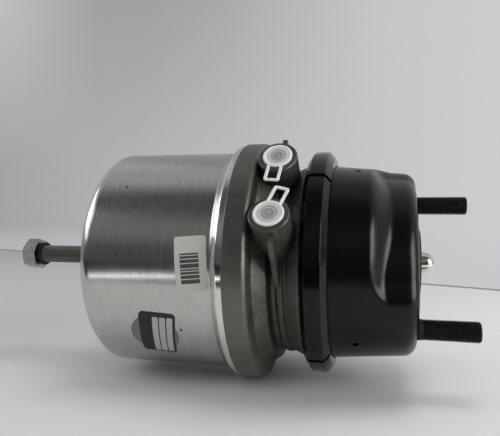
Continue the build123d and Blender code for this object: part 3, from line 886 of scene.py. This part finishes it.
def port_plug(name, side, turn, node, body):
    """Push-in plug with a ringed disc and its pull loop, turned about the port's axis."""
    seat = X * port_x + M * side * port_m + N * port_h
    rings = [plain_ring(along, r, plug_sides) for along, r in plug_profile()]
    verts, faces = spun(rings, seat, N, X, M, plug_sides)
    angle = math.radians(turn)
    out = X * math.sin(angle) + M * math.cos(angle)
    across = N.cross(out)
    flat, more = loop_frame()
    loop = [seat + across * q[0] + out * q[1] + N * q[2] for q in flat]
    add_shape(verts, faces, loop, more)
    piece = new_piece(name, verts, faces, finishes["white_plastic"], body)
    soften(piece, 40)
    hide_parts(node)


# Labels

def on_can(x, angle, lift):
    """Point just above the can, or above the vent cap's disc where that lies under a label."""
    from_cap = math.hypot(x - cap_x, math.radians(angle - cap_angle) * can_r)
    lift += cap_proud * min(1.0, max(0.0, (cap_r + cap_clear - from_cap) / cap_step))
    return X * x + outwards(angle) * (can_r + lift)


def between(corners, u, v):
    """Place on the can, as x and angle, at u and v from 0 to 1 over a label's four corners."""
    top_left, top_right, low_right, low_left = corners
    place = []
    for k in (0, 1):
        top = (1 - u) * top_left[k] + u * top_right[k]
        low = (1 - u) * low_left[k] + u * low_right[k]
        place.append((1 - v) * top + v * low)
    return place


def patch(corners, u0, u1, v0, v1, lift, round_mm, size):
    """Rounded patch of the can's skin, over a part of a label."""
    width, height = size
    verts = []
    for j in range(label_cells + 1):
        v = v0 + (v1 - v0) * j / label_cells
        inset = 0.0
        from_end = min(v - v0, v1 - v) * height
        if from_end < round_mm:
            inset = (round_mm - math.sqrt(round_mm**2 - (round_mm - from_end) ** 2)) / width
        for i in range(label_cells + 1):
            u = u0 + inset + (u1 - u0 - 2 * inset) * i / label_cells
            x, angle = between(corners, u, v)
            verts.append(on_can(x, angle, lift))
    faces = []
    row = label_cells + 1
    for j in range(label_cells):
        for i in range(label_cells):
            first = j * row + i
            faces.append((first, first + row, first + row + 1, first + 1))
    return verts, faces


def label(name, corners, base, ink, fields, round_mm):
    """A sticker and its printed fields, each a thin patch on the can."""
    top_left, top_right = corners[:2]
    low_left = corners[3]
    height = (top_left[1] - low_left[1]) * math.radians(1) * can_r
    size = (top_right[0] - top_left[0], height)
    verts, faces = patch(corners, 0, 1, 0, 1, label_lift, round_mm, size)
    slots = [0] * len(faces)
    for u0, u1, v0, v1, corner in fields:
        some, more = patch(corners, u0, u1, v0, v1, print_lift, corner, size)
        add_shape(verts, faces, some, more)
        slots += [1] * len(more)
    new_piece(name, verts, faces, base, "chamber", ink, slots)


def bar_label():
    """Pale sticker with plain bars of changing width."""
    fields = []
    v = bars_top
    for k in range(bar_count):
        thick = bar_thin + bar_growth * (k % bar_cycle)
        fields.append((bar_left, bar_right, v, v + thick, 0.0))
        v += thick + bar_gap
    white = paper("label_pale_paper", (0.62, 0.62, 0.58), (0.52, 0.52, 0.49))
    ink = paper("label_dark_print", (0.05, 0.05, 0.05), (0.08, 0.08, 0.08))
    label("label_bars", bars_corners, white, ink, fields, bars_round)


def field_label():
    """Dark sticker with pale empty fields, half over the vent cap."""
    fields = []
    for k in range(field_count):
        left = field_left + field_pitch * k
        fields.append((left, left + field_width, field_top, field_foot, field_round))
    dark = paper("label_dark_film", (0.005, 0.006, 0.007), (0.009, 0.010, 0.011))
    pale = paper("label_pale_fields", (0.48, 0.48, 0.46), (0.42, 0.42, 0.41))
    label("label_fields", fields_corners, dark, pale, fields, fields_round)


def paint_solids():
    """Gives each shown solid its finish by its material slot."""
    for entry in frame["record"]["subparts"]:
        solid = frame["nodes"][entry["node"]]
        finish = finishes[entry["material_slot"]]
        if entry["node"] == "push_rod":
            finish = rod_finish
        for slot in solid.material_slots:
            slot.material = finish


# Table, light and camera

def back_tone(p):
    """Grey of the wall, with painted light and shade: paler to the right and at the top left, darker at
    the top middle.
    """
    x = p.x()
    z = p.z()
    across = x.rise(-2473.0, 594.0)
    top = z.rise(300.0, 1300.0)
    left_glow = top * x.fall(-2500.0, -1750.0)
    middle_dim = top * x.near(-1200.0, 250.0, 900.0)
    tone = 0.37 + across * 0.24 + left_glow * 0.15 - middle_dim * 0.10
    return p.node("CombineColor", None, {0: tone * 0.985, 1: tone, 2: tone * 1.01})


def seen_back(p, tone, shader):
    """Shows the wall's tone to the camera and in reflections, and a plain surface to other light."""
    glow = p.node("Emission", None, {"Color": tone, "Strength": 1.0})
    direct = p.node("LightPath", None, None, "Is Camera Ray")
    mirrored = p.node("LightPath", None, None, "Is Glossy Ray")
    return p.node("MixShader", None, {0: (direct + mirrored).clear(), 1: shader, 2: glow})


def table_finish():
    """Pale table, painted paler to the right where more light falls. Behind its slanting back edge lies
    the wall's grey, with a painted line of shade along that edge.
    """
    p = Paint("table_pale")
    x = p.x()
    y = p.y()
    behind = y - (table_edge_y + (x - table_edge_x) * table_edge_slope)
    grain = p.noise(40.0, 3.0, 0.5)
    # Painted light: paler to the right, where more light falls
    base = p.mix(x.rise(-450.0, 300.0), (0.66, 0.665, 0.65), (0.93, 0.935, 0.92))
    base = p.mix(grain * 0.10, base, 0.6)
    sockets = {"Base Color": base, "Roughness": 0.55, "Specular IOR Level": 0.3}
    top = p.node("BsdfPrincipled", None, sockets)
    # Painted shade: a dark line just behind the table's back edge
    edge_shade = 1 - behind.near(8.0, 7.0, 9.0) * 0.55
    tone = p.node("VectorMath", {"operation": "SCALE"}, {0: back_tone(p), "Scale": edge_shade})
    back = seen_back(p, tone, top)
    # Painted dark reflection: to glossy rays the table in front of its near edge is a dark sheet
    dark_reflection = p.node("BsdfDiffuse", None, {"Color": (0.03, 0.03, 0.03, 1.0)})
    glossy = p.node("LightPath", None, None, "Is Glossy Ray")
    mirrored = y.fall(table_front_y - table_front_soft, table_front_y) * glossy
    front = p.node("MixShader", None, {0: mirrored, 1: top, 2: dark_reflection})
    p.out(p.node("MixShader", None, {0: behind.rise(-1.0, 1.0), 1: front, 2: back}))
    return p.material


def wall_finish():
    p = Paint("wall_grey")
    dim = p.node("Emission", None, {"Color": (0.42, 0.42, 0.42, 1.0), "Strength": 1.0})
    p.out(seen_back(p, back_tone(p), dim))
    return p.material


def stage_plane(name, y_range, z_range, finish):
    """Wide rectangle from one pair of y and z to the other."""
    corners = []
    for side, end in ((-1, 0), (1, 0), (1, 1), (-1, 1)):
        corners.append(Vector((side * far, y_range[end], z_range[end])) * MM)
    mesh = bpy.data.meshes.new(name)
    mesh.from_pydata(corners, [], [(0, 1, 2, 3)])
    mesh.materials.append(finish)
    piece = bpy.data.objects.new(name, mesh)
    bpy.context.scene.collection.objects.link(piece)


def lamp(name, at, aim, size, power, mirrored=True):
    """Soft lamp. One that isn't mirrored lights the chamber without a streak on bright metal."""
    data = bpy.data.lights.new(name, "AREA")
    data.shape = "RECTANGLE"
    data.size, data.size_y = (side * MM for side in size)
    data.energy = power
    piece = bpy.data.objects.new(name, data)
    piece.location = Vector(at) * MM
    piece.rotation_euler = (Vector(aim) - Vector(at)).to_track_quat("-Z", "Y").to_euler()
    piece.visible_camera = False
    piece.visible_glossy = mirrored
    bpy.context.scene.collection.objects.link(piece)


def room():
    """World light: bright above and behind the chamber, dim on the camera's side."""
    world = bpy.data.worlds.new("room")
    bpy.context.scene.world = world
    world.use_nodes = True
    paint = Paint("room_light")
    paint.tree = world.node_tree
    paint.tree.nodes.clear()
    ray = paint.node("TexCoord", None, None, "Generated")
    y = paint.node("SeparateXYZ", None, {0: ray}, 1)
    z = paint.node("SeparateXYZ", None, {0: ray}, 2)
    lit = y.rise(-0.25, 0.02) * z.rise(-0.05, 0.1)
    front = paint.mix(z.near(0.5, 0.08, 0.2), 0.085, 0.20)
    seen = paint.node("LightPath", None, None, "Is Camera Ray")
    colour = paint.mix(lit, front, (0.44, 0.445, 0.445))
    colour = paint.mix(seen, colour, (0.60, 0.61, 0.61))
    light = paint.node("Background", None, {"Color": colour, "Strength": 1.0})
    end = paint.tree.nodes.new("ShaderNodeOutputWorld")
    paint.tree.links.new(light.socket, end.inputs["Surface"])
    bpy.data.materials.remove(paint.material)


def camera():
    data = bpy.data.cameras.new("camera")
    data.sensor_width = sensor_mm
    data.sensor_fit = "HORIZONTAL"
    data.lens = focal_px / photo_width * sensor_mm
    data.clip_start = clip_from_mm * MM
    data.clip_end = clip_to_mm * MM
    piece = bpy.data.objects.new("camera", data)
    up = camera_right.cross(camera_forward)
    turn = Matrix((camera_right, up, -camera_forward)).transposed()
    piece.matrix_world = Matrix.Translation(Vector(camera_at) * MM) @ turn.to_4x4()
    bpy.context.scene.collection.objects.link(piece)
    bpy.context.scene.camera = piece


paint_solids()
service_housing()
studs()
release_bolt()
release_hexagon()
bolt_ring()
port_plug("plug_lower", -1, lower_loop_turn, "service_port_plug", "service_plug")
port_plug("plug_upper", 1, upper_loop_turn, "spring_port_plug", "spring_plug")
bar_label()
field_label()

stage_plane("table", (-far, wall_y), (table_z, table_z), table_finish())
stage_plane("wall", (wall_y, wall_y), (table_z, far), wall_finish())
lamp("lamp_window_right", at=(1350, -620, 480), aim=(-60, 0, 0), size=(900, 1000), power=18.0)
lamp("lamp_window_left", at=(-1600, -300, 750), aim=(-200, 0, 0), size=(1200, 800), power=6.0)
lamp("lamp_above", at=(150, -50, 1500), aim=(0, 0, 0), size=(900, 600), power=8.0, mirrored=False)
lamp("lamp_low_strip", at=(-315, -340, -71), aim=(-200, -90, -10), size=(210, 14), power=0.03)
room()
camera()
bpy.context.scene.view_settings.view_transform = "Standard"
